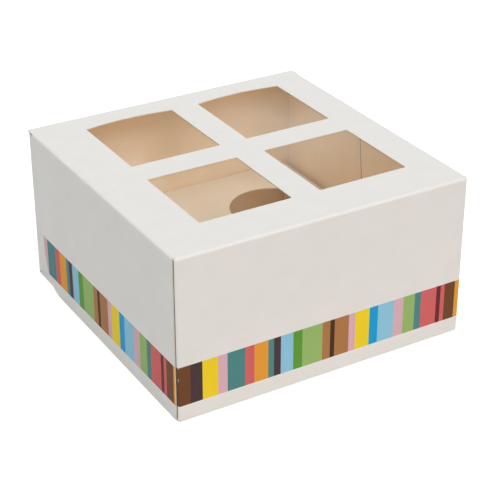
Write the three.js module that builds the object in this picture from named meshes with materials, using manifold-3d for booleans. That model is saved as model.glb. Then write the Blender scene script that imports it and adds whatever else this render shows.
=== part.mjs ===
// A windowed cupcake carton: a folded tray, a hinged lid with four windows, the clear film
// glued behind them and a card insert with four round holes. Millimetres, +Z up, front at -Y,
// origin under the middle of the closed box.

import * as THREE from 'three';
import { mergeVertices } from 'three/addons/utils/BufferGeometryUtils.js';
import Module from 'manifold-3d';

const wasm = await Module();
wasm.setup();

// Closed box, outside
const boxWidth = 165;
const boxDepth = 165;
const boxHeight = 88;

// Board and folds
const board = 0.6;
const foldRadius = 1.3;
const foldOverlap = 3;
const glueBite = 0.05;
const fit = 0.35;

// Windows in the lid, two rows of two
const windowWidth = 51;
const windowDepth = 53;
const windowBarX = 16;
const windowBarY = 17;
const windowFromLeft = 27;
const windowFromFront = 25.5;
const windowCorner = 0.8;

// Clear film glued under the lid
const filmThickness = 0.2;
const filmMargin = 9;
const filmGap = 0.15;

// Side flaps of the lid and the lid's glued corner tabs
const flapSetback = 2;
const flapRearTop = 7.5;
const flapRearLow = 13;
const flapCornerHeight = 27;
const flapCornerReach = 31.5;
const lidFoot = 0.3;
const lidTabLength = 22;
const tabTaper = 6;
const tabNickRun = 1.5;
const tabNickRise = 2.5;

// Hinge fold along the top of the rear wall
const hingeEndGap = 0.15;
const hingeUnderGap = 0.3;

// Tray
const trayWallDrop = 0.5;
const traySetback = 2;
const trayFrontTab = 83;
const trayRearTab = 20;

// Insert
const platformHeight = 31;
const insertSideSlack = 1.8;
const insertEndSlack = 0.5;
const restGap = 0.1;
const holeDiameter = 49;
const holePitchX = 82;
const holePitchY = 68;

const halfWidth = boxWidth / 2;
const halfDepth = boxDepth / 2;
const foldSteps = 3;
const cornerSteps = 12;
const holeSteps = 72;

const whiteBoard = { color: 0xe6e4df, roughness: 0.55, metalness: 0 };

function toSolid(geometry) {
  const bare = geometry.clone();
  bare.deleteAttribute('normal');
  bare.deleteAttribute('uv');
  const merged = mergeVertices(bare, 1e-4);
  return new wasm.Manifold(new wasm.Mesh({
    numProp: 3,
    vertProperties: new Float32Array(merged.attributes.position.array),
    triVerts: new Uint32Array(merged.index.array),
  }));
}

function toMesh(name, solid, finish) {
  const cut = solid.getMesh();
  const geometry = new THREE.BufferGeometry();
  geometry.setAttribute('position', new THREE.BufferAttribute(new Float32Array(cut.vertProperties), 3));
  geometry.setIndex(new THREE.BufferAttribute(new Uint32Array(cut.triVerts), 1));
  geometry.computeVertexNormals();
  const mesh = new THREE.Mesh(geometry, new THREE.MeshStandardMaterial(finish));
  mesh.name = name;
  return mesh;
}

function joined(solids) {
  return solids.reduce((whole, next) => whole.add(next));
}

function extruded(shape, depth, curveSegments) {
  return new THREE.ExtrudeGeometry(shape, { depth, bevelEnabled: false, curveSegments });
}

// The three ways a section is drawn out: across Y from an X-Z section, across X from a Y-Z
// section and up Z from an X-Y section.
function alongY(shape, from, to) {
  return toSolid(extruded(shape, to - from, foldSteps).rotateX(Math.PI / 2).translate(0, to, 0));
}

function alongX(shape, from, to, steps = foldSteps) {
  const drawn = extruded(shape, to - from, steps);
  return toSolid(drawn.rotateX(Math.PI / 2).rotateZ(Math.PI / 2).translate(from, 0, 0));
}

function alongZ(shape, from, to) {
  return toSolid(extruded(shape, to - from, foldSteps).translate(0, 0, from));
}

// Section of a bent board. The outer face runs through the points and turns left at each fold,
// a right angle with a rounded corner, and the board's thickness lies on its left.
function bentBoard(points) {
  const outer = points.map(([x, y]) => new THREE.Vector2(x, y));
  const heading = outer.slice(1).map((point, i) => point.clone().sub(outer[i]).normalize());
  const leftOf = (direction) => new THREE.Vector2(-direction.y, direction.x).multiplyScalar(board);
  const folds = outer.slice(1, -1).map((corner, i) => ({
    centre: corner.clone().addScaledVector(heading[i], -foldRadius).addScaledVector(heading[i + 1], foldRadius),
    start: Math.atan2(-heading[i + 1].y, -heading[i + 1].x),
    end: Math.atan2(heading[i].y, heading[i].x),
  }));
  const first = outer[0];
  const last = outer[outer.length - 1];
  const innerLast = last.clone().add(leftOf(heading[heading.length - 1]));
  const innerFirst = first.clone().add(leftOf(heading[0]));
  const shape = new THREE.Shape();
  shape.moveTo(first.x, first.y);
  for (const fold of folds) {
    shape.absarc(fold.centre.x, fold.centre.y, foldRadius, fold.start, fold.end, false);
  }
  shape.lineTo(last.x, last.y);
  shape.lineTo(innerLast.x, innerLast.y);
  for (const fold of [...folds].reverse()) {
    shape.absarc(fold.centre.x, fold.centre.y, foldRadius - board, fold.end, fold.start, true);
  }
  shape.lineTo(innerFirst.x, innerFirst.y);
  shape.closePath();
  return shape;
}

function outline(points) {
  return new THREE.Shape(points.map(([x, y]) => new THREE.Vector2(x, y)));
}

function roundedRectangle(width, depth, radius) {
  const x = width / 2 - radius;
  const y = depth / 2 - radius;
  const shape = new THREE.Shape();
  shape.absarc(x, y, radius, 0, Math.PI / 2, false);
  shape.absarc(-x, y, radius, Math.PI / 2, Math.PI, false);
  shape.absarc(-x, -y, radius, Math.PI, 1.5 * Math.PI, false);
  shape.absarc(x, -y, radius, 1.5 * Math.PI, 2 * Math.PI, false);
  shape.closePath();
  return shape;
}

// A wall with a tab folded back at each end, seen from above as a shallow U that is open
// towards side (1 for a front wall, -1 for a rear wall). The tabs taper towards their ends,
// and a nick at each fold's foot keeps the tab off the surface below.
function tabbedWall({ faceX, faceY, side, tabLength, foot, wallTop, tabTop }) {
  const tabEnd = faceY + side * tabLength;
  const path = side > 0
    ? [[-faceX, tabEnd], [-faceX, faceY], [faceX, faceY], [faceX, tabEnd]]
    : [[faceX, tabEnd], [faceX, faceY], [-faceX, faceY], [-faceX, tabEnd]];
  const foldLine = faceY + side * foldRadius;
  const beyond = faceY - side;
  const profile = outline([
    [beyond, foot],
    [foldLine, foot],
    [foldLine + side * tabNickRun, foot + tabNickRise],
    [tabEnd, foot + tabTaper],
    [tabEnd, tabTop - tabTaper],
    [foldLine, tabTop],
    [foldLine, wallTop],
    [beyond, wallTop],
  ]);
  const drawn = alongZ(bentBoard(path), foot, wallTop);
  return drawn.intersect(alongX(profile, -halfWidth, halfWidth));
}

// Window centres, from the left and front edges of the lid
function windowCentres() {
  const centres = [];
  for (const row of [0, 1]) {
    for (const column of [0, 1]) {
      centres.push([
        -halfWidth + windowFromLeft + windowWidth / 2 + column * (windowWidth + windowBarX),
        -halfDepth + windowFromFront + windowDepth / 2 + row * (windowDepth + windowBarY),
      ]);
    }
  }
  return centres;
}

// Lid: one sheet folded into a top, a front wall and two side flaps. The front wall's end tabs
// are glued behind the flaps, and each flap's rear edge slants forward to a rounded corner.
const lidTabFace = halfWidth - board + glueBite;
const foldDepth = boxHeight - foldRadius;

function lidTopAndFlaps() {
  const section = bentBoard([
    [halfWidth, lidFoot],
    [halfWidth, boxHeight],
    [-halfWidth, boxHeight],
    [-halfWidth, lidFoot],
  ]);
  const front = -halfDepth + flapSetback;
  const rear = halfDepth - hingeEndGap;
  const sideView = new THREE.Shape();
  sideView.moveTo(front, 0);
  sideView.lineTo(halfDepth - flapCornerReach, 0);
  sideView.lineTo(halfDepth - flapCornerReach, lidFoot);
  sideView.quadraticCurveTo(
    halfDepth - flapRearLow - 2 * lidFoot,
    lidFoot,
    halfDepth - flapRearLow,
    flapCornerHeight,
  );
  sideView.lineTo(halfDepth - flapRearTop, foldDepth);
  sideView.lineTo(rear, foldDepth);
  sideView.lineTo(rear, boxHeight + board);
  sideView.lineTo(front, boxHeight + board);
  sideView.closePath();
  return alongY(section, front, rear).intersect(alongX(sideView, -boxWidth, boxWidth, cornerSteps));
}

function lidFrontFold() {
  const section = bentBoard([
    [-halfDepth + flapSetback + foldOverlap, boxHeight],
    [-halfDepth, boxHeight],
    [-halfDepth, foldDepth - board],
  ]);
  return alongX(section, -lidTabFace, lidTabFace);
}

function makeLid() {
  const frontWall = tabbedWall({
    faceX: lidTabFace,
    faceY: -halfDepth,
    side: 1,
    tabLength: lidTabLength,
    foot: lidFoot,
    wallTop: foldDepth,
    tabTop: foldDepth,
  });
  const windowShape = roundedRectangle(windowWidth, windowDepth, windowCorner);
  const cuts = windowCentres().map(([x, y]) => (
    alongZ(windowShape, boxHeight - 3 * board, boxHeight + board).translate(x, y, 0)
  ));
  const sheet = joined([lidTopAndFlaps(), lidFrontFold(), frontWall]);
  return toMesh('lid', sheet.subtract(joined(cuts)), whiteBoard);
}

// Window film: one flat clear sheet behind all four windows
function makeFilm() {
  const centres = windowCentres();
  const [left, front] = centres[0];
  const [right, rear] = centres[centres.length - 1];
  const width = right - left + windowWidth + 2 * filmMargin;
  const depth = rear - front + windowDepth + 2 * filmMargin;
  const finish = {
    color: 0xf4f6f6, roughness: 0.08, metalness: 0, transparent: true, opacity: 0.2,
  };
  const mesh = new THREE.Mesh(
    new THREE.BoxGeometry(width, depth, filmThickness),
    new THREE.MeshStandardMaterial(finish),
  );
  mesh.position.set(
    (left + right) / 2,
    (front + rear) / 2,
    boxHeight - board - filmGap - filmThickness / 2,
  );
  mesh.name = 'window_film';
  return mesh;
}

// Tray: one sheet folded up into a bottom and four walls. The front wall's end tabs are glued
// inside the side walls and the rear wall's outside them, in the layer of the lid's own tabs.
// The rear wall rises to the lid's hinge fold.
const trayRearTabFace = halfWidth - board - fit;
const trayHalfWidth = trayRearTabFace - board + glueBite;
const trayFrontTabFace = trayHalfWidth - board + glueBite;
const trayFront = -halfDepth + board + fit;
const trayRear = halfDepth;
const trayWallTop = boxHeight - board - trayWallDrop;
const rearWallTop = boxHeight - board - hingeUnderGap;

function makeTray() {
  const bottomAndSides = alongY(bentBoard([
    [-trayHalfWidth, trayWallTop],
    [-trayHalfWidth, 0],
    [trayHalfWidth, 0],
    [trayHalfWidth, trayWallTop],
  ]), trayFront + traySetback, trayRear - traySetback);
  const frontFold = alongX(bentBoard([
    [trayFront, foldRadius + board],
    [trayFront, 0],
    [trayFront + traySetback + foldOverlap, 0],
  ]), -trayFrontTabFace, trayFrontTabFace);
  const rearFold = alongX(bentBoard([
    [trayRear - traySetback - foldOverlap, 0],
    [trayRear, 0],
    [trayRear, foldRadius + board],
  ]), -trayFrontTabFace, trayFrontTabFace);
  const frontWall = tabbedWall({
    faceX: trayFrontTabFace,
    faceY: trayFront,
    side: 1,
    tabLength: trayFrontTab,
    foot: foldRadius,
    wallTop: trayWallTop,
    tabTop: trayWallTop,
  });
  const rearWall = tabbedWall({
    faceX: trayRearTabFace,
    faceY: trayRear,
    side: -1,
    tabLength: trayRearTab,
    foot: foldRadius,
    wallTop: rearWallTop,
    tabTop: trayWallTop,
  });
  const sheet = joined([bottomAndSides, frontFold, rearFold, frontWall, rearWall]);
  return toMesh('base_tray', sheet, whiteBoard);
}

// Insert: a platform with four round holes, standing on a leg folded down at each side
function makeInsert() {
  const halfSpan = trayFrontTabFace - board - insertSideSlack;
  const foot = board + restGap;
  const front = trayFront + board + insertEndSlack;
  const rear = trayRear - board - insertEndSlack;
  const platform = alongY(bentBoard([
    [halfSpan, foot],
    [halfSpan, platformHeight],
    [-halfSpan, platformHeight],
    [-halfSpan, foot],
  ]), front, rear);
  const holes = [];
  for (const x of [-holePitchX / 2, holePitchX / 2]) {
    for (const y of [-holePitchY / 2, holePitchY / 2]) {
      const cutter = new THREE.CylinderGeometry(holeDiameter / 2, holeDiameter / 2, 4 * board, holeSteps);
      holes.push(toSolid(cutter.rotateX(Math.PI / 2).translate(x, y, platformHeight - board / 2)));
    }
  }
  const cardFinish = { color: 0xd9c3a2, roughness: 0.8, metalness: 0 };
  return toMesh('cupcake_insert', platform.subtract(joined(holes)), cardFinish);
}

const windowedBox = new THREE.Group();
windowedBox.name = 'windowed_box';
windowedBox.add(makeTray(), makeInsert(), makeLid(), makeFilm());

export default windowedBox;
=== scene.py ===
import math
import bmesh
import bpy
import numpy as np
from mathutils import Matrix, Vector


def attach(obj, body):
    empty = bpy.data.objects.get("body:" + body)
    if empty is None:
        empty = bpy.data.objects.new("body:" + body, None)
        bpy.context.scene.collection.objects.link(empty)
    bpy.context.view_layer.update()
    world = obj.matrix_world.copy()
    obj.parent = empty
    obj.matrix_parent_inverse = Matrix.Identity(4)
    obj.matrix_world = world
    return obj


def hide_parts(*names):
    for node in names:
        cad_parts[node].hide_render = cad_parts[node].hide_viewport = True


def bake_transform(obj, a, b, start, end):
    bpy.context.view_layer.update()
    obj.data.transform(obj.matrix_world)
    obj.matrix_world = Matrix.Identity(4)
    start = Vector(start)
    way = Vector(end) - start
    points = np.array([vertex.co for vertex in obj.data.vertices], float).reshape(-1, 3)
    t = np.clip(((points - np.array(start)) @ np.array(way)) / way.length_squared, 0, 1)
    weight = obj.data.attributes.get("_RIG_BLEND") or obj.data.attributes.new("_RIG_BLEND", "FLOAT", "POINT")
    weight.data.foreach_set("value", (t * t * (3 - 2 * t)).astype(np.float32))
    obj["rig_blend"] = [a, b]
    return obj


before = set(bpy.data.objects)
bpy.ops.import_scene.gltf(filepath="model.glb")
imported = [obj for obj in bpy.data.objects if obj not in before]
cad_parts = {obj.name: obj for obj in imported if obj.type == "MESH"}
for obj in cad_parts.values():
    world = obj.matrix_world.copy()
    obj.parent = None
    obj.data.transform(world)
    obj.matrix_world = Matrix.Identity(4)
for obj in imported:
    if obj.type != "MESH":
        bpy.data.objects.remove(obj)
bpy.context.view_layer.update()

# The camera stands in front of the box, left of its middle and above it, far enough back for a
# nearly parallel view.
camera = bpy.data.objects.new("camera", bpy.data.cameras.new("camera"))
camera.data.sensor_width = 36
camera.data.lens = 107.41
camera.location = (-0.34785, -0.59740, 0.41031)
camera.rotation_euler = (math.radians(61.26), 0, math.radians(-30.62))
bpy.context.collection.objects.link(camera)
bpy.context.scene.camera = camera


# The tray is one sheet of folding boxboard, coated white outside and bare tan inside, creased
# into a bottom and four walls. The front wall's long tabs are glued inside the side walls, and
# the rear wall's short tabs are glued outside them.
mm = 0.001
board = 0.6
crease = 1.3
arc = round(crease * math.pi / 2, 4)
fold_steps = 6
fold_lines = [arc * i / fold_steps for i in range(fold_steps)]


def bend(along):
    """How far on and how far round a creased board has gone, past the start of its crease."""
    if along <= 0:
        return along, 0
    if along < arc:
        return crease * math.sin(along / crease), crease - crease * math.cos(along / crease)
    return crease, crease + along - arc


def spread(low, high, pitch):
    count = max(1, round((high - low) / pitch))
    return [low + (high - low) * i / count for i in range(count + 1)]


def lines(*stops, pitch=9):
    """Grid lines at each stop, with others between them no further apart than the pitch."""
    found = {round(value, 4) for a, b in zip(stops, stops[1:]) for value in spread(a, b, pitch)}
    return sorted(found)


def laid_flat(length):
    """How long the board is along its surface, for a wall of this length with its crease."""
    return length - crease + arc


def creased(length, pitch=9, first=0.5):
    """Grid lines over a crease and the wall beyond it, for a wall of this length."""
    return fold_lines + lines(arc, arc + first, laid_flat(length), pitch=pitch)


def panel(sheet, columns, rows, place, left_out=None):
    """A grid of board. For each column and row, place gives x, y and z in millimetres, the
    place across the print, and the fold: 1 on a worn crease, -1 for painted shade in a slit or
    crease, 2 at a cut."""
    print_x = sheet.verts.layers.float["print_x"]
    fold = sheet.verts.layers.float["fold"]
    grid = []
    for row in rows:
        grid.append([])
        for column in columns:
            x, y, z, printed, folded = place(column, row)
            point = sheet.verts.new((x * mm, y * mm, z * mm))
            point[print_x] = printed
            point[fold] = folded
            grid[-1].append(point)
    for i in range(len(rows) - 1):
        for j in range(len(columns) - 1):
            middle = (columns[j] + columns[j + 1]) / 2, (rows[i] + rows[i + 1]) / 2
            if not (left_out and left_out(*middle)):
                sheet.faces.new((grid[i][j], grid[i][j + 1], grid[i + 1][j + 1], grid[i + 1][j]))


def new_sheet():
    sheet = bmesh.new()
    sheet.verts.layers.float.new("print_x")
    sheet.verts.layers.float.new("fold")
    return sheet


tab_taper = 6
nick_run = 1.5
nick_rise = 2.5


def tapered(height, out, length, low, high):
    """A height on a tab that narrows from its crease to its end and is nicked at its foot."""
    out = max(0, out)
    if out < nick_run:
        rise = nick_rise * out / nick_run
    else:
        rise = nick_rise + (tab_taper - nick_rise) * (out - nick_run) / (length - nick_run)
    share = (height - low) / (high - low)
    low += rise
    high -= tab_taper * out / length
    return low + share * (high - low)


def board_object(name, sheet, outside, inside, edge, middle=0.044):
    """Joins the panels at their creases, turns them outwards from a point at the middle height,
    in metres, and gives the sheet its thickness, inward."""
    bmesh.ops.remove_doubles(sheet, verts=sheet.verts, dist=0.00001)
    bmesh.ops.delete(sheet, geom=[v for v in sheet.verts if not v.link_faces], context="VERTS")
    sheet.normal_update()
    for face in sheet.faces:
        centre = face.calc_center_median()
        centre.z -= middle
        if face.normal.dot(centre) < 0:
            face.normal_flip()
        face.smooth = True
    for side in sheet.edges:
        side.smooth = not side.is_boundary
    mesh = bpy.data.meshes.new(name)
    sheet.to_mesh(mesh)
    sheet.free()
    for material in (outside, inside, edge):
        mesh.materials.append(material)
    made = bpy.data.objects.new(name, mesh)
    bpy.context.collection.objects.link(made)
    thick = made.modifiers.new("thickness", "SOLIDIFY")
    thick.thickness = board * mm
    thick.offset = -1
    thick.use_even_offset = True
    thick.material_offset = 1
    thick.material_offset_rim = 2
    return made


def node(tree, kind, values=None, **settings):
    made = tree.nodes.new("ShaderNode" + kind)
    for name, value in settings.items():
        setattr(made, name, value)
    for socket, value in (values or {}).items():
        if hasattr(value, "is_linked"):
            tree.links.new(value, made.inputs[socket])
        else:
            made.inputs[socket].default_value = value
    return made


def grain(tree, scale, low, high, stretch=(1, 1, 1), detail=4):
    """Noise over the object, from low to high."""
    place = node(tree, "TexCoord").outputs["Object"]
    place = node(tree, "Mapping", {"Vector": place, "Scale": stretch}).outputs[0]
    noise = node(tree, "TexNoise", {"Vector": place, "Scale": scale, "Detail": detail}).outputs[0]
    return node(tree, "MapRange", {"Value": noise, 1: 0.3, 2: 0.7, 3: low, 4: high}).outputs[0]


def tinted(tree, colour, amount):
    """The colour, made lighter or darker by the amount."""
    return node(tree, "VectorMath", {0: colour, "Scale": amount},
                operation="SCALE").outputs[0]


def board_material(name, colour, mottle, roughness, relief, layer=None):
    """Board with cloudy and fibrous shade in it, and the faint relief of its fibres."""
    material = bpy.data.materials.new(name)
    material.use_nodes = True
    tree = material.node_tree
    shader = tree.nodes["Principled BSDF"]
    cloud = grain(tree, 90, 1 - mottle, 1 + mottle)
    fibre = grain(tree, 900, 1 - mottle, 1 + mottle, (1, 0.35, 1))
    shade = node(tree, "Math", {0: cloud, 1: fibre}, operation="MULTIPLY").outputs[0]
    base = layer(tree, colour) if layer else colour
    tree.links.new(tinted(tree, base, shade), shader.inputs["Base Color"])
    tree.links.new(grain(tree, 240, roughness - 0.06, roughness + 0.06), shader.inputs["Roughness"])
    bump = node(tree, "Bump", {"Height": grain(tree, 1500, 0, 1), "Strength": relief,
                               "Distance": 0.0001})
    tree.links.new(bump.outputs[0], shader.inputs["Normal"])
    shader.inputs["Specular IOR Level"].default_value = 0.25
    return material


def painted_crease_shade(tree, colour):
    """The board's colour with painted shade, darker where its fold value is below nought, in a slit or a
    crease.
    """
    folded = node(tree, "Attribute", attribute_name="fold").outputs["Fac"]
    shade = node(tree, "MapRange", {"Value": folded, 1: -1, 2: 0, 3: 0.16, 4: 1}).outputs[0]
    return tinted(tree, colour, shade)


white_board = board_material("coated white board", (0.84, 0.835, 0.81), 0.012, 0.55, 0.08)
# The tan board carries painted shade where the fold value is below nought, in a slit or a crease.
tan_board = board_material("bare tan board", (0.91, 0.72, 0.5), 0.02, 0.8, 0.2,
                           painted_crease_shade)
cut_edge = board_material("cut edge of board", (0.82, 0.75, 0.64), 0.04, 0.8, 0.2)

side_x = 81
front_y = 81.55
rear_y = 82.5
tab_front_x = 80.45 - crease
tab_rear_x = 81.55 - crease
front_tab_length = 83
rear_tab_length = 20
wall_top = 86.9
rear_wall_top = 86.7
side_front = -79.5
side_rear = 80.5

# The front tab's end slants back. A crease with painted shade parts off a narrow lip,
# which stands proud.
slant = 1 / 700
shade_at = 80.9
shade_width = 0.5
lip_start = 81
lip_width = 2
lip_rise = 1.3

tray_x = lines(-side_x + crease, -tab_front_x, tab_front_x, side_x - crease)
tray_y = lines(-front_y + crease, side_front, side_rear, rear_y - crease)
tray = new_sheet()
panel(tray, tray_x, tray_y, lambda x, y: (x, y, 0, 0, 0))
side_lines = [y for y in tray_y if side_front <= y <= side_rear]
front_lines = [x for x in tray_x if abs(x) <= tab_front_x]
front_rows = creased(wall_top, first=1)
rear_rows = creased(rear_wall_top, first=1)
for side in (-1, 1):
    def side_wall(y, along):
        on, up = bend(along)
        return side * (side_x - crease + on), y, up, 0, 0

    def front_tab(along, row):
        on, back = bend(along)
        up = tapered(bend(row)[1], along - arc, front_tab_length - crease, crease, wall_top)
        lean = lip_rise * max(0, back - lip_start) / lip_width
        # Painted shade: a fold value of -1 darkens the crease before the lip.
        folded = -1 if abs(back - shade_at) < shade_width / 2 else 0
        return (side * (tab_front_x + on - lean), back * (1 + slant * up) - front_y, up, 0,
                folded)

    def rear_tab(along, row):
        on, forward = bend(along)
        up = tapered(bend(row)[1], along - arc, rear_tab_length - crease, crease, rear_wall_top)
        return side * (tab_rear_x + on), rear_y - forward, up, 0, 0

    panel(tray, side_lines, creased(wall_top), side_wall)
    tab_lines = creased(shade_at - 2 * shade_width) + [arc + nick_run]
    tab_lines += [laid_flat(shade_at + i * shade_width) for i in (-1, 0, 1)]
    tab_lines.append(laid_flat(front_tab_length))
    panel(tray, sorted(tab_lines), [r for r in front_rows if r >= arc], front_tab)
    rear_tab_lines = creased(rear_tab_length) + [arc + nick_run]
    rear_tab_lines.append(side_x - crease - tab_rear_x)
    panel(tray, sorted(rear_tab_lines), [r for r in rear_rows if r >= arc], rear_tab)
panel(tray, front_lines, front_rows,
      lambda x, along: (x, crease - front_y - bend(along)[0], bend(along)[1], 0, 0))
panel(tray, tray_x, rear_rows,
      lambda x, along: (x, rear_y - crease + bend(along)[0], bend(along)[1], 0, 0))
tray_object = board_object("tray_sheet", tray, white_board, tan_board, cut_edge)
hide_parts("base_tray")
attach(tray_object, "tray")


# The insert is a loose piece of bare tan card with four round holes punched in it. Its left and
# right ends are creased down into legs, which stand on the tray's bottom.
insert_x = 78.05
insert_low_y = -80.45
insert_high_y = 81.4
platform_top = 31
leg_foot = 0.7
insert_middle = 0.01
hole_radius = 24.5
hole_pitch = (82, 68)

punch = bpy.data.node_groups.new("punched platform", "GeometryNodeTree")
for name in ("Width", "Depth", "Hole radius", "Hole pitch across", "Hole pitch along", "Height",
             "Middle along"):
    punch.interface.new_socket(name, in_out="INPUT", socket_type="NodeSocketFloat")
punch.interface.new_socket("Card", in_out="INPUT", socket_type="NodeSocketMaterial")
punch.interface.new_socket("Geometry", in_out="OUTPUT", socket_type="NodeSocketGeometry")


def step(kind, values=None, **settings):
    made = punch.nodes.new("GeometryNode" + kind)
    for name, value in settings.items():
        setattr(made, name, value)
    for socket, value in (values or {}).items():
        if hasattr(value, "is_linked"):
            punch.links.new(value, made.inputs[socket])
        else:
            made.inputs[socket].default_value = value
    return made


given = punch.nodes.new("NodeGroupInput").outputs
outline = step("CurvePrimitiveQuadrilateral", {"Width": given["Width"], "Height": given["Depth"]})
circle = step("CurvePrimitiveCircle", {"Resolution": 96, "Radius": given["Hole radius"]})
spots = step("MeshGrid", {"Size X": given["Hole pitch across"], "Size Y": given["Hole pitch along"],
                          "Vertices X": 2, "Vertices Y": 2})
middle = punch.nodes.new("ShaderNodeCombineXYZ")
punch.links.new(given["Middle along"], middle.inputs["Y"])
centred = step("Transform", {"Geometry": outline.outputs[0], "Translation": middle.outputs[0]})
holes = step("InstanceOnPoints", {"Points": spots.outputs[0], "Instance": circle.outputs[0]})
loose = step("RealizeInstances", {"Geometry": holes.outputs[0]})
cuts = step("JoinGeometry")
punch.links.new(centred.outputs[0], cuts.inputs[0])
punch.links.new(loose.outputs[0], cuts.inputs[0])
flat = step("FillCurve", {"Curve": cuts.outputs[0]})
lift = punch.nodes.new("ShaderNodeCombineXYZ")
punch.links.new(given["Height"], lift.inputs["Z"])
raised = step("Transform", {"Geometry": flat.outputs[0], "Translation": lift.outputs[0]})
real = step("RealizeInstances", {"Geometry": raised.outputs[0]})
coated = step("SetMaterial", {"Geometry": real.outputs[0], "Material": given["Card"]})
punch.links.new(coated.outputs[0], punch.nodes.new("NodeGroupOutput").inputs[0])

card_top = board_material("insert card", (0.74, 0.63, 0.49), 0.02, 0.75, 0.2)
platform = bpy.data.objects.new("platform", bpy.data.meshes.new("platform"))
bpy.context.collection.objects.link(platform)
stamp = platform.modifiers.new("punched", "NODES")
stamp.node_group = punch
amounts = {
    "Width": 2 * (insert_x - crease) * mm,
    "Depth": (insert_high_y - insert_low_y) * mm,
    "Hole radius": hole_radius * mm,
    "Hole pitch across": hole_pitch[0] * mm,
    "Hole pitch along": hole_pitch[1] * mm,
    "Height": platform_top * mm,
    "Middle along": (insert_high_y + insert_low_y) / 2 * mm,
    "Card": card_top,
}
for socket in punch.interface.items_tree:
    if socket.in_out == "INPUT":
        stamp[socket.identifier] = amounts[socket.name]
bpy.context.view_layer.update()
ready = platform.evaluated_get(bpy.context.evaluated_depsgraph_get())
punched = bpy.data.meshes.new_from_object(ready)
bpy.data.objects.remove(platform)
insert = new_sheet()
insert.from_mesh(punched)
for side in (-1, 1):
    panel(insert, [insert_low_y, insert_high_y],
          fold_lines + [arc, laid_flat(platform_top - leg_foot)],
          lambda y, along: (side * (insert_x - crease + bend(along)[0]), y,
                            platform_top - bend(along)[1], 0, 0))
insert_object = board_object("insert_card", insert, card_top, tan_board, cut_edge, insert_middle)
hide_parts("cupcake_insert")
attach(insert_object, "tray")


# The lid is creased from one sheet of the same board: a top with four windows, a front wall and
# two side flaps. The front wall's end tabs are glued behind the flaps. A band of coloured stripes
# is printed round the front wall and the flaps.
lid_x = 82.5
lid_y = 82.5
lid_top = 88
lid_foot = 0.3
tab_x = 81.95 - crease
tab_length = 22
slit = 0.6
flap_front = -80.5
flap_rear = 75
flap_rear_low = 69.5
flap_corner_top = 27
flap_corner_pull = 68.9
flap_foot_end = 51
rear_edge_inset = 0.3
window_x = ((-55.5, -4.5), (11.5, 62.5))
window_y = ((-57, -4), (13, 66))
window_corner = 0.8
corner_steps = 4
window_bow = 2.4
cut_rim = 0.5

plum = (0.06, 0.03, 0.035)
umber = (0.16, 0.055, 0.015)
brown = (0.44, 0.19, 0.06)
bark = (0.05, 0.02, 0.005)
yellow = (0.94, 0.69, 0.01)
orange = (0.83, 0.35, 0.03)
coral = (0.68, 0.13, 0.13)
wine = (0.15, 0.015, 0.02)
pink = (0.74, 0.46, 0.53)
teal = (0.07, 0.25, 0.25)
blue = (0, 0.35, 0.73)
sky = (0.28, 0.6, 0.8)
green = (0.11, 0.34, 0.03)
moss = (0.32, 0.51, 0.15)
stripes = (
    (umber, 7.0), (plum, 6.4), (yellow, 8.1), (pink, 5.1), (teal, 9.8), (coral, 5.1),
    (orange, 7.8), (teal, 3.3), (plum, 3.8), (sky, 7.4), (green, 4.6), (moss, 11.6),
    (brown, 4.7), (bark, 2.4), (brown, 8.3), (pink, 4.2), (yellow, 8.3), (blue, 5.3),
    (sky, 9.6), (pink, 5.6), (moss, 7.3), (teal, 3.8), (coral, 9.4), (wine, 2.6),
    (coral, 2.6), (umber, 6.6), (orange, 4.3),
)
band_low = 8.7
band_high = 30.3
flap_print_scale = 0.931
flap_print_start = -79.4
flap_print_first = -79.1


def striped(tree, colour):
    """The stripes' ink between the band's two heights, chipped away along the upright creases
    and most so near the band's top. The cuts round the windows show bare board."""
    across = node(tree, "Attribute", attribute_name="print_x").outputs["Fac"]
    position = node(tree, "MapRange", {"Value": across, 1: -lid_x, 2: lid_x}).outputs[0]
    ink = node(tree, "ValToRGB", {"Fac": position})
    ramp = ink.color_ramp
    ramp.interpolation = "CONSTANT"
    start = 0
    for number, (stripe, width) in enumerate(stripes):
        stop = ramp.elements[0] if number == 0 else ramp.elements.new(start / (2 * lid_x))
        stop.position = start / (2 * lid_x)
        stop.color = (*stripe, 1)
        start += width
    while len(ramp.elements) > len(stripes):
        ramp.elements.remove(ramp.elements[-1])
    place = node(tree, "TexCoord").outputs["Object"]
    height = node(tree, "SeparateXYZ", {0: place}).outputs["Z"]
    over = node(tree, "Math", {0: height, 1: band_low * mm}, operation="GREATER_THAN").outputs[0]
    under = node(tree, "Math", {0: height, 1: band_high * mm}, operation="LESS_THAN").outputs[0]
    band = node(tree, "Math", {0: over, 1: under}, operation="MULTIPLY").outputs[0]
    folded = node(tree, "Attribute", attribute_name="fold").outputs["Fac"]
    rubbed = node(tree, "MapRange", {"Value": height, 1: band_low * mm, 2: band_high * mm,
                                     3: 0.5, 4: 1.25}).outputs[0]
    wear = node(tree, "Math", {0: folded, 1: grain(tree, 1100, 0, 1, (1, 1, 0.4))},
                operation="MULTIPLY").outputs[0]
    wear = node(tree, "Math", {0: wear, 1: rubbed}, operation="MULTIPLY").outputs[0]
    kept = node(tree, "MapRange", {"Value": wear, 1: 0.6, 2: 0.75, 3: 1, 4: 0.15}).outputs[0]
    amount = node(tree, "Math", {0: band, 1: kept}, operation="MULTIPLY").outputs[0]
    mixed = node(tree, "Mix", {0: amount, 6: (*colour, 1), 7: ink.outputs[0]}, data_type="RGBA")
    rim = node(tree, "MapRange", {"Value": folded, 1: 1, 2: 2}).outputs[0]
    bare = node(tree, "Mix", {0: rim, 6: mixed.outputs[2], 7: (0.97, 0.86, 0.72, 1)},
                data_type="RGBA")
    # Painted shade darkens the print in the slit beside each tab's crease.
    return painted_crease_shade(tree, bare.outputs[2])


printed_board = board_material("printed white board", (0.84, 0.835, 0.81), 0.012, 0.55, 0.08,
                               striped)


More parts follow.
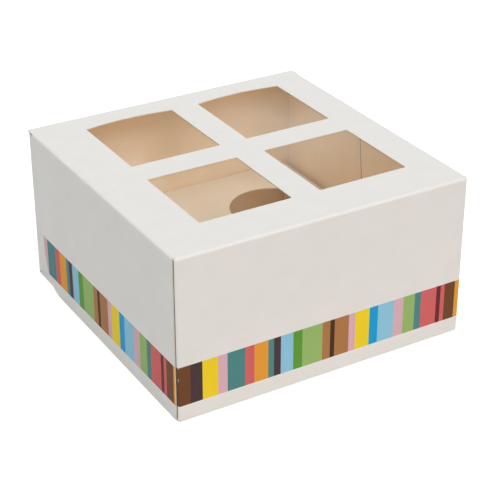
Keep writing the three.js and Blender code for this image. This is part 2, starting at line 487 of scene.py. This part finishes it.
def in_window(x, y):
    return any(a < x < b for a, b in window_x) and any(a < y < b for a, b in window_y)


def window_lines(low, high, spans):
    stops = [low]
    for a, b in spans:
        stops += [a - cut_rim, a, a + window_corner, b - window_corner, b, b + cut_rim]
    return stops + [high]


def flap_edge(height):
    """Where the flap's rear edge is at this height: slanted, with a rounded bottom corner."""
    if height > flap_corner_top:
        up = min(1, (height - flap_corner_top) / (lid_top - crease - flap_corner_top))
        return flap_rear_low + (flap_rear - flap_rear_low) * up
    t = 1 - math.sqrt(max(0, height - lid_foot) / (flap_corner_top - lid_foot))
    return ((1 - t) ** 2 * flap_rear_low + 2 * t * (1 - t) * flap_corner_pull
            + t * t * flap_foot_end)


def top_panel(x, y):
    """The top, with the rear windows' rear edges cut in a slight bow, and fold 2 at the cuts."""
    cut = 0
    rear_cut = window_y[1][1]
    for left, right in window_x:
        for near, far in window_y:
            if left <= x <= right and near <= y <= far:
                cut = 2
        if y in (rear_cut, rear_cut + cut_rim) and left < x < right:
            y += window_bow * (1 - ((2 * x - left - right) / (right - left)) ** 2)
    return x, y, lid_top, 0, cut


lid = new_sheet()
across = lines(-lid_x + crease, *window_lines(-tab_x, tab_x, window_x), lid_x - crease)
back = lid_y - crease
along_lines = lines(*[-back, flap_front] + window_lines(flap_front, flap_rear, window_y)[1:]
                    + [flap_rear + rear_edge_inset, back])
panel(lid, across, along_lines, top_panel, in_window)
for left, right in window_x:
    for near, far in window_y:
        for x, y, to_right, to_rear in ((left, near, 1, 1), (right, near, -1, 1),
                                        (right, far, -1, -1), (left, far, 1, -1)):
            corner = [(x, y)]
            for i in range(corner_steps + 1):
                turn = math.pi / 2 * i / corner_steps
                corner.append((x + to_right * window_corner * (1 - math.sin(turn)),
                               y + to_rear * window_corner * (1 - math.cos(turn))))
            lid.faces.new([lid.verts.new((a * mm, b * mm, lid_top * mm)) for a, b in corner])

wall_rows = creased(lid_top - lid_foot, 6)
front_columns = [x for x in across if abs(x) <= tab_x]
panel(lid, front_columns, wall_rows,
      lambda x, along: (x, -back - bend(along)[0], lid_top - bend(along)[1], x, 0))
flap_columns = [y for y in along_lines if flap_front <= y <= flap_rear]
flap_rows = creased(lid_top - flap_corner_top, 6)
for t in (0.15, 0.3, 0.45, 0.6, 0.74, 0.87, 1):
    height = lid_foot + (flap_corner_top - lid_foot) * (1 - t) ** 2
    flap_rows.append(laid_flat(lid_top - height))
for side in (-1, 1):
    def flap(y, along):
        on, down = bend(along)
        height = lid_top - down
        share = (y - flap_front) / (flap_rear - flap_front)
        rear = flap_edge(height) if height < lid_top - crease else flap_rear
        y = flap_front + share * (rear - flap_front)
        printed = flap_print_scale * (y - flap_print_start) + flap_print_first
        return side * (back + on), y, height, side * printed, 0

    def tab(along, row):
        on, rearward = bend(along)
        folded = 1 - abs(along / arc * 2 - 1) if 0 < along < arc else 0
        # Painted shade: a fold value of -1 darkens the slit between the flap's edge and the tab.
        if arc <= along < arc + slit:
            folded = -1
        forward, down = bend(row)
        height = tapered(lid_top - down, along - arc, tab_length - crease, lid_foot,
                         lid_top - crease)
        return (side * (tab_x + on), rearward - back - forward, height, side * (tab_x + along),
                folded)

    panel(lid, flap_columns, flap_rows, flap)
    tab_rows = wall_rows[1:]
    tab_columns = sorted(creased(tab_length) + [arc + 1, arc + nick_run])
    panel(lid, tab_columns, [r for r in tab_rows if r >= arc], tab)
    panel(lid, fold_lines + [arc], [r for r in tab_rows if r <= arc], tab)
    rear_lines = [y for y in along_lines if y >= flap_rear]
    edge_lines = sorted((side * back, side * (lid_x - rear_edge_inset)))
    panel(lid, edge_lines, rear_lines, lambda x, y: (x, y, lid_top, 0, 0))
lid_object = board_object("lid_sheet", lid, printed_board, tan_board, cut_edge)
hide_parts("lid")
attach(lid_object, "lid")


# The hinge is the crease along the top of the rear wall, where lid and tray are one sheet of
# board. It is a quarter round while the lid is shut, and bends as the lid opens.
hinge = bmesh.new()
strip = []
hinge_steps = 8
turns = [math.pi / 2 * i / hinge_steps for i in range(hinge_steps + 1)]
for x in spread(-lid_x + crease, lid_x - crease, pitch=12):
    strip.append([[hinge.verts.new((x * mm, (back + radius * math.sin(turn)) * mm,
                                    (lid_top - crease + radius * math.cos(turn)) * mm))
                   for turn in turns] for radius in (crease, crease - board)])
for (outer, inner), (next_outer, next_inner) in zip(strip, strip[1:]):
    for i in range(hinge_steps):
        hinge.faces.new((outer[i], next_outer[i], next_outer[i + 1], outer[i + 1])).smooth = True
        inside = hinge.faces.new((inner[i + 1], next_inner[i + 1], next_inner[i], inner[i]))
        inside.smooth = True
        inside.material_index = 1
    hinge.faces.new((outer[0], inner[0], next_inner[0], next_outer[0])).material_index = 2
    hinge.faces.new((outer[-1], next_outer[-1], next_inner[-1], inner[-1])).material_index = 2
for outer, inner in (strip[0], strip[-1]):
    for i in range(hinge_steps):
        end = hinge.faces.new((outer[i], outer[i + 1], inner[i + 1], inner[i]))
        end.material_index = 2
bmesh.ops.recalc_face_normals(hinge, faces=hinge.faces)
hinge_mesh = bpy.data.meshes.new("hinge_fold")
hinge.to_mesh(hinge_mesh)
for material in (white_board, tan_board, cut_edge):
    hinge_mesh.materials.append(material)
hinge_fold = bpy.data.objects.new("hinge_fold", hinge_mesh)
bpy.context.collection.objects.link(hinge_fold)
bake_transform(hinge_fold, "lid", "tray", (0, back * mm, 0.088), (0, lid_y * mm, 0.0867))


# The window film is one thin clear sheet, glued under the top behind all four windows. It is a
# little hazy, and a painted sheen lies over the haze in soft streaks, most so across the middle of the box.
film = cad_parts["window_film"]
rear_near, rear_far = (y * mm for y in window_y[1])
clear = bpy.data.materials.new("clear film")
clear.use_nodes = True
tree = clear.node_tree
shader = tree.nodes["Principled BSDF"]
shader.inputs["Base Color"].default_value = (0.9, 0.86, 0.76, 1)
place = node(tree, "TexCoord").outputs["Object"]
rearward = node(tree, "SeparateXYZ", {0: place}).outputs["Y"]
near = node(tree, "MapRange", {"Value": rearward, 1: -0.05, 2: rear_near, 3: 0.4,
                               4: 1.6}).outputs[0]
far = node(tree, "MapRange", {"Value": rearward, 1: rear_near, 2: rear_far, 3: 1,
                              4: 0.25}).outputs[0]
# Painted sheen: the pale layer is strongest across the middle of the box and fades to the front and rear.
painted_sheen_spread = node(tree, "Math", {0: near, 1: far}, operation="MULTIPLY").outputs[0]
haze_and_painted_sheen = node(tree, "Math", {0: grain(tree, 30, 0.01, 0.11, (1, 0.25, 1)), 1: painted_sheen_spread},
            operation="MULTIPLY").outputs[0]
tree.links.new(haze_and_painted_sheen, shader.inputs["Alpha"])
tree.links.new(grain(tree, 60, 0.05, 0.12), shader.inputs["Roughness"])
film.data.materials.clear()
film.data.materials.append(clear)


# A level white table, a hair below the box, and an even white surround.
reach = 6
level = -0.0003
floor = bpy.data.objects.new("floor", bpy.data.meshes.new("floor"))
floor.data.from_pydata([(-reach, -reach, level), (reach, -reach, level), (reach, reach, level),
                        (-reach, reach, level)], [], [(0, 1, 2, 3)])
bpy.context.collection.objects.link(floor)
table = bpy.data.materials.new("white table")
table.use_nodes = True
tree = table.node_tree
tree.nodes.remove(tree.nodes["Principled BSDF"])
seen = node(tree, "LightPath").outputs["Is Camera Ray"]
lift = node(tree, "Math", {0: seen, 1: 0.6}, operation="MULTIPLY").outputs[0]
diffuse = node(tree, "BsdfDiffuse", {"Color": (0.8, 0.8, 0.79, 1)}).outputs[0]
emission = node(tree, "Emission", {"Strength": lift}).outputs[0]
both = node(tree, "AddShader", {0: diffuse, 1: emission}).outputs[0]
tree.links.new(both, tree.nodes["Material Output"].inputs["Surface"])
floor.data.materials.append(table)

world = bpy.data.worlds.new("surround")
bpy.context.scene.world = world
world.use_nodes = True
tree = world.node_tree
path = node(tree, "LightPath").outputs
bare = node(tree, "Math", {0: path["Is Camera Ray"], 1: path["Is Glossy Ray"]},
            operation="MAXIMUM").outputs[0]
bare = node(tree, "Math", {0: bare, 1: path["Is Transmission Ray"]}, operation="MAXIMUM").outputs[0]
strength = node(tree, "MapRange", {"Value": bare, 3: 0.34, 4: 1}).outputs[0]
tree.links.new(strength, tree.nodes["Background"].inputs["Strength"])
tree.nodes["Background"].inputs["Color"].default_value = (1, 1, 1, 1)

# One large soft light from high in front, a little to the left.
key = bpy.data.objects.new("key", bpy.data.lights.new("key", "SUN"))
key.data.energy = 1.95
key.data.angle = math.radians(60)
key.rotation_euler = (math.radians(20), math.radians(-6), 0)
bpy.context.collection.objects.link(key)

# Weak light under the lid and under the insert, in place of what comes through the board, which
# is modelled opaque.
for name, height, power in (("lid glow", 0.0865, 0.026), ("insert glow", 0.029, 0.007)):
    glow = bpy.data.objects.new(name, bpy.data.lights.new(name, "AREA"))
    glow.data.energy = power
    glow.data.size = 0.14
    glow.location = (0, 0, height)
    glow.visible_camera = False
    glow.visible_glossy = False
    glow.visible_transmission = False
    bpy.context.collection.objects.link(glow)

# A weak warm light, low in front.
warm = bpy.data.objects.new("warm", bpy.data.lights.new("warm", "SUN"))
warm.data.energy = 0.34
warm.data.color = (1, 0.5, 0.25)
warm.data.angle = math.radians(30)
warm.rotation_euler = (math.radians(82), 0, math.radians(12))
bpy.context.collection.objects.link(warm)

bpy.context.scene.view_settings.view_transform = "Standard"
